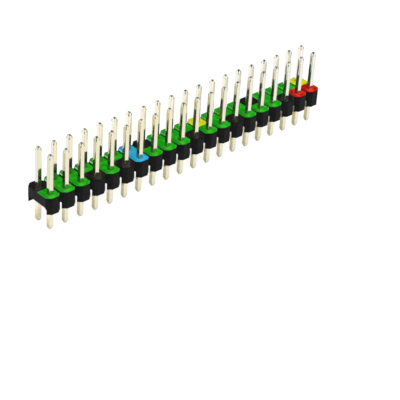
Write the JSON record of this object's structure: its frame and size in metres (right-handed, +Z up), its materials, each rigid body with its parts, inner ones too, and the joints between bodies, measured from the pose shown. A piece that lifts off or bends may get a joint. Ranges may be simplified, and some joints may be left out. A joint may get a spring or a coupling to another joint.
{
  "type": "pin header strip",
  "caption": "Straight double-row pin header with square gold-plated contacts, a notched black housing on small feet, and coloured fields on its top that key the contacts.",
  "frame": {"origin": "centre of the footprint, level with the ends of the solder tails", "axes": "+X along the strip towards contacts 1 and 2, +Y across it towards the odd-numbered row, +Z up along the contacts"},
  "size_m": [0.0506, 0.005, 0.0115],
  "materials": {
    "black_plastic": "moulded, semi-gloss",
    "plated_contact": "thin pale gold plating on drawn square wire",
    "green_ink": "printed gloss ink",
    "red_ink": "printed gloss ink",
    "yellow_ink": "printed gloss ink",
    "blue_ink": "printed gloss ink"
  },
  "bodies": {
    "root": {"housing": "black_plastic", "print_green": "green_ink", "print_red": "red_ink", "print_yellow": "yellow_ink", "print_blue": "blue_ink", "pin_01": "plated_contact", "pin_02": "plated_contact", "pin_03": "plated_contact", "pin_04": "plated_contact", "pin_05": "plated_contact", "pin_06": "plated_contact", "pin_07": "plated_contact", "pin_08": "plated_contact", "pin_09": "plated_contact", "pin_10": "plated_contact", "pin_11": "plated_contact", "pin_12": "plated_contact", "pin_13": "plated_contact", "pin_14": "plated_contact", "pin_15": "plated_contact", "pin_16": "plated_contact", "pin_17": "plated_contact", "pin_18": "plated_contact", "pin_19": "plated_contact", "pin_20": "plated_contact", "pin_21": "plated_contact", "pin_22": "plated_contact", "pin_23": "plated_contact", "pin_24": "plated_contact", "pin_25": "plated_contact", "pin_26": "plated_contact", "pin_27": "plated_contact", "pin_28": "plated_contact", "pin_29": "plated_contact", "pin_30": "plated_contact", "pin_31": "plated_contact", "pin_32": "plated_contact", "pin_33": "plated_contact", "pin_34": "plated_contact", "pin_35": "plated_contact", "pin_36": "plated_contact", "pin_37": "plated_contact", "pin_38": "plated_contact", "pin_39": "plated_contact", "pin_40": "plated_contact"}
  },
  "joints": []
}
